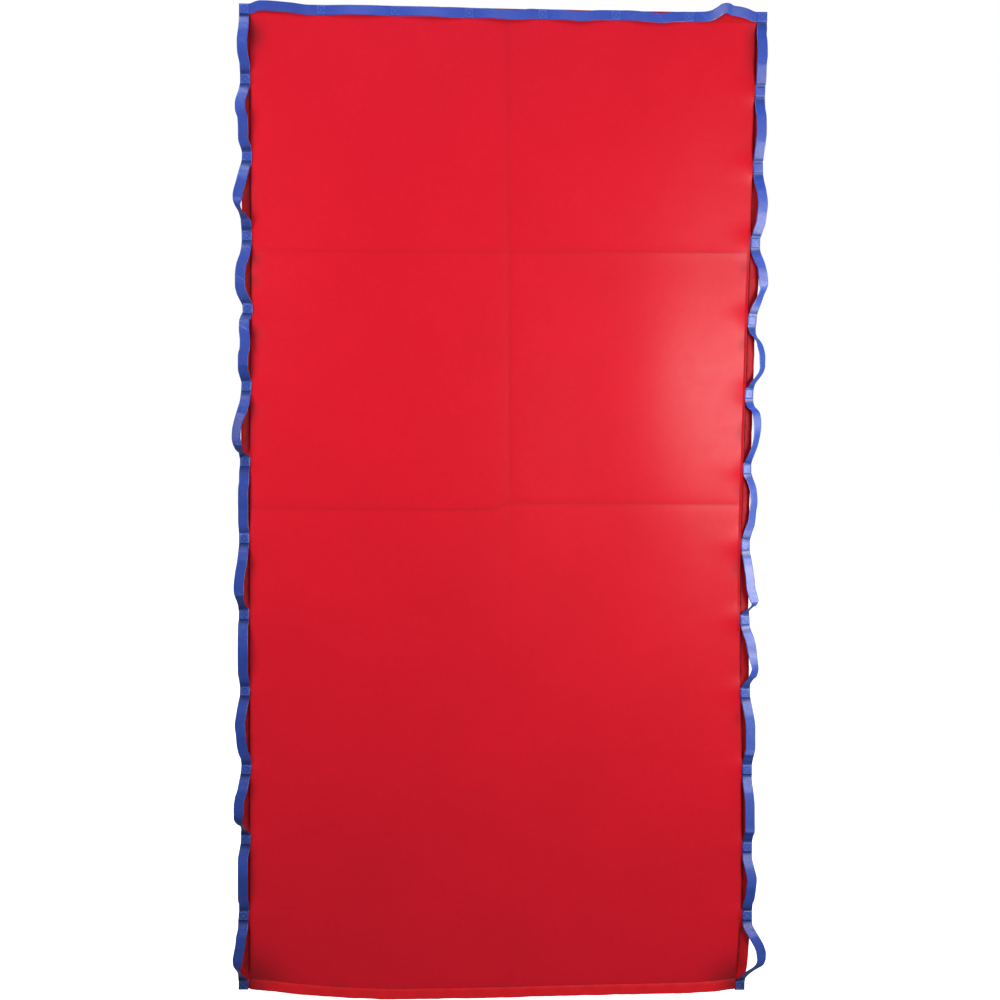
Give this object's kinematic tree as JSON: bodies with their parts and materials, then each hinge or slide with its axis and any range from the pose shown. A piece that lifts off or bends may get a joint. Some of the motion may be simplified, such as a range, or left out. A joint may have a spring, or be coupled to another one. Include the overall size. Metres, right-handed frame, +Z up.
{
  "type": "fire blanket",
  "caption": "Tall hanging fire blanket: a coated sheet with a stitched hem, edged on three sides by tacked webbing whose slack forms hand loops, folding at set-in creases.",
  "frame": {"origin": "middle of the top edge, in the sheet's mid plane", "axes": "+Z up along the hanging height, -Y towards the front, +X to the right as the front is seen"},
  "size_m": [1.088, 0.0206, 2.001],
  "materials": {
    "sheet": "coated plain weave with a low sheen",
    "hem": "folded and stitched edge of the coated sheet",
    "webbing": "ribbed narrow woven tape"
  },
  "bodies": {
    "panel_1": {"sheet_panel_1": "sheet", "left_hem_1": "hem", "right_hem_1": "hem", "side_tacks_1": "webbing", "top_hem": "hem", "top_tacks": "webbing", "left_loop_04_upper": "webbing", "right_loop_04_upper": "webbing"},
    "panel_2": {"sheet_panel_2": "sheet", "left_hem_2": "hem", "right_hem_2": "hem", "side_tacks_2": "webbing", "left_loop_04_lower": "webbing", "right_loop_04_lower": "webbing", "left_loop_07_upper": "webbing", "right_loop_07_upper": "webbing"},
    "panel_3": {"sheet_panel_3": "sheet", "left_hem_3": "hem", "right_hem_3": "hem", "side_tacks_3": "webbing", "left_loop_07_lower": "webbing", "right_loop_07_lower": "webbing", "left_loop_10_upper": "webbing", "right_loop_10_upper": "webbing"},
    "panel_4": {"sheet_panel_4": "sheet", "left_hem_4": "hem", "right_hem_4": "hem", "side_tacks_4": "webbing", "bottom_hem": "hem", "left_loop_10_lower": "webbing", "right_loop_10_lower": "webbing"},
    "left_loop_01": {"left_loop_01": "webbing"},
    "left_loop_02": {"left_loop_02": "webbing"},
    "left_loop_03": {"left_loop_03": "webbing"},
    "left_loop_05": {"left_loop_05": "webbing"},
    "left_loop_06": {"left_loop_06": "webbing"},
    "left_loop_08": {"left_loop_08": "webbing"},
    "left_loop_09": {"left_loop_09": "webbing"},
    "left_loop_11": {"left_loop_11": "webbing"},
    "left_loop_12": {"left_loop_12": "webbing"},
    "left_loop_13": {"left_loop_13": "webbing"},
    "right_loop_01": {"right_loop_01": "webbing"},
    "right_loop_02": {"right_loop_02": "webbing"},
    "right_loop_03": {"right_loop_03": "webbing"},
    "right_loop_05": {"right_loop_05": "webbing"},
    "right_loop_06": {"right_loop_06": "webbing"},
    "right_loop_08": {"right_loop_08": "webbing"},
    "right_loop_09": {"right_loop_09": "webbing"},
    "right_loop_11": {"right_loop_11": "webbing"},
    "right_loop_12": {"right_loop_12": "webbing"},
    "right_loop_13": {"right_loop_13": "webbing"},
    "top_loop_1": {"top_loop_1": "webbing"},
    "top_loop_2": {"top_loop_2": "webbing"},
    "top_loop_3": {"top_loop_3": "webbing"},
    "top_loop_4": {"top_loop_4": "webbing"},
    "top_loop_5": {"top_loop_5": "webbing"},
    "top_loop_6": {"top_loop_6": "webbing"},
    "top_loop_7": {"top_loop_7": "webbing"}
  },
  "joints": [
    {"name": "fold_upper", "type": "hinge", "parent": "panel_1", "child": "panel_2", "pos_m": [0, 0.0013, -0.48], "axis": [1, 0, 0], "range_deg": [0, 160]},
    {"name": "fold_middle", "type": "hinge", "parent": "panel_2", "child": "panel_3", "pos_m": [0, -0.0055, -0.989], "axis": [-1, 0, 0], "range_deg": [0, 160]},
    {"name": "fold_lower", "type": "hinge", "parent": "panel_3", "child": "panel_4", "pos_m": [0, 0.0013, -1.487], "axis": [1, 0, 0], "range_deg": [0, 160]},
    {"name": "left_loop_01_swing", "type": "hinge", "parent": "panel_1", "child": "left_loop_01", "pos_m": [-0.51, -0.006, -0.081], "axis": [0, 0, -1], "range_deg": [-60, 50]},
    {"name": "left_loop_02_swing", "type": "hinge", "parent": "panel_1", "child": "left_loop_02", "pos_m": [-0.51, -0.006, -0.2279], "axis": [0, 0, -1], "range_deg": [-60, 50]},
    {"name": "left_loop_03_swing", "type": "hinge", "parent": "panel_1", "child": "left_loop_03", "pos_m": [-0.51, -0.006, -0.3797], "axis": [0, 0, -1], "range_deg": [-60, 50]},
    {"name": "left_loop_05_swing", "type": "hinge", "parent": "panel_2", "child": "left_loop_05", "pos_m": [-0.51, -0.006, -0.6833], "axis": [0, 0, -1], "range_deg": [-60, 50]},
    {"name": "left_loop_06_swing", "type": "hinge", "parent": "panel_2", "child": "left_loop_06", "pos_m": [-0.51, -0.006, -0.8351], "axis": [0, 0, -1], "range_deg": [-60, 50]},
    {"name": "left_loop_08_swing", "type": "hinge", "parent": "panel_3", "child": "left_loop_08", "pos_m": [-0.51, -0.006, -1.1387], "axis": [0, 0, -1], "range_deg": [-60, 50]},
    {"name": "left_loop_09_swing", "type": "hinge", "parent": "panel_3", "child": "left_loop_09", "pos_m": [-0.51, -0.006, -1.2905], "axis": [0, 0, -1], "range_deg": [-60, 50]},
    {"name": "left_loop_11_swing", "type": "hinge", "parent": "panel_4", "child": "left_loop_11", "pos_m": [-0.51, -0.006, -1.5941], "axis": [0, 0, -1], "range_deg": [-60, 50]},
    {"name": "left_loop_12_swing", "type": "hinge", "parent": "panel_4", "child": "left_loop_12", "pos_m": [-0.51, -0.006, -1.7459], "axis": [0, 0, -1], "range_deg": [-60, 50]},
    {"name": "left_loop_13_swing", "type": "hinge", "parent": "panel_4", "child": "left_loop_13", "pos_m": [-0.51, -0.006, -1.8928], "axis": [0, 0, -1], "range_deg": [-60, 50]},
    {"name": "right_loop_01_swing", "type": "hinge", "parent": "panel_1", "child": "right_loop_01", "pos_m": [0.51, -0.006, -0.081], "axis": [0, 0, 1], "range_deg": [-60, 50]},
    {"name": "right_loop_02_swing", "type": "hinge", "parent": "panel_1", "child": "right_loop_02", "pos_m": [0.51, -0.006, -0.2279], "axis": [0, 0, 1], "range_deg": [-60, 50]},
    {"name": "right_loop_03_swing", "type": "hinge", "parent": "panel_1", "child": "right_loop_03", "pos_m": [0.51, -0.006, -0.3797], "axis": [0, 0, 1], "range_deg": [-60, 50]},
    {"name": "right_loop_05_swing", "type": "hinge", "parent": "panel_2", "child": "right_loop_05", "pos_m": [0.51, -0.006, -0.6833], "axis": [0, 0, 1], "range_deg": [-60, 50]},
    {"name": "right_loop_06_swing", "type": "hinge", "parent": "panel_2", "child": "right_loop_06", "pos_m": [0.51, -0.006, -0.8351], "axis": [0, 0, 1], "range_deg": [-60, 50]},
    {"name": "right_loop_08_swing", "type": "hinge", "parent": "panel_3", "child": "right_loop_08", "pos_m": [0.51, -0.006, -1.1387], "axis": [0, 0, 1], "range_deg": [-60, 50]},
    {"name": "right_loop_09_swing", "type": "hinge", "parent": "panel_3", "child": "right_loop_09", "pos_m": [0.51, -0.006, -1.2905], "axis": [0, 0, 1], "range_deg": [-60, 50]},
    {"name": "right_loop_11_swing", "type": "hinge", "parent": "panel_4", "child": "right_loop_11", "pos_m": [0.51, -0.006, -1.5941], "axis": [0, 0, 1], "range_deg": [-60, 50]},
    {"name": "right_loop_12_swing", "type": "hinge", "parent": "panel_4", "child": "right_loop_12", "pos_m": [0.51, -0.006, -1.7459], "axis": [0, 0, 1], "range_deg": [-60, 50]},
    {"name": "right_loop_13_swing", "type": "hinge", "parent": "panel_4", "child": "right_loop_13", "pos_m": [0.51, -0.006, -1.8928], "axis": [0, 0, 1], "range_deg": [-60, 50]},
    {"name": "top_loop_1_lift", "type": "hinge", "parent": "panel_1", "child": "top_loop_1", "pos_m": [-0.43714, -0.006, -0.01], "axis": [-1, 0, 0], "range_deg": [0, 50]},
    {"name": "top_loop_2_lift", "type": "hinge", "parent": "panel_1", "child": "top_loop_2", "pos_m": [-0.29143, -0.006, -0.01], "axis": [-1, 0, 0], "range_deg": [0, 60]},
    {"name": "top_loop_3_lift", "type": "hinge", "parent": "panel_1", "child": "top_loop_3", "pos_m": [-0.14571, -0.006, -0.01], "axis": [-1, 0, 0], "range_deg": [0, 60]},
    {"name": "top_loop_4_lift", "type": "hinge", "parent": "panel_1", "child": "top_loop_4", "pos_m": [0, -0.006, -0.01], "axis": [-1, 0, 0], "range_deg": [0, 60]},
    {"name": "top_loop_5_lift", "type": "hinge", "parent": "panel_1", "child": "top_loop_5", "pos_m": [0.14571, -0.006, -0.01], "axis": [-1, 0, 0], "range_deg": [0, 60]},
    {"name": "top_loop_6_lift", "type": "hinge", "parent": "panel_1", "child": "top_loop_6", "pos_m": [0.29143, -0.006, -0.01], "axis": [-1, 0, 0], "range_deg": [0, 60]},
    {"name": "top_loop_7_lift", "type": "hinge", "parent": "panel_1", "child": "top_loop_7", "pos_m": [0.43714, -0.006, -0.01], "axis": [-1, 0, 0], "range_deg": [0, 50]}
  ]
}
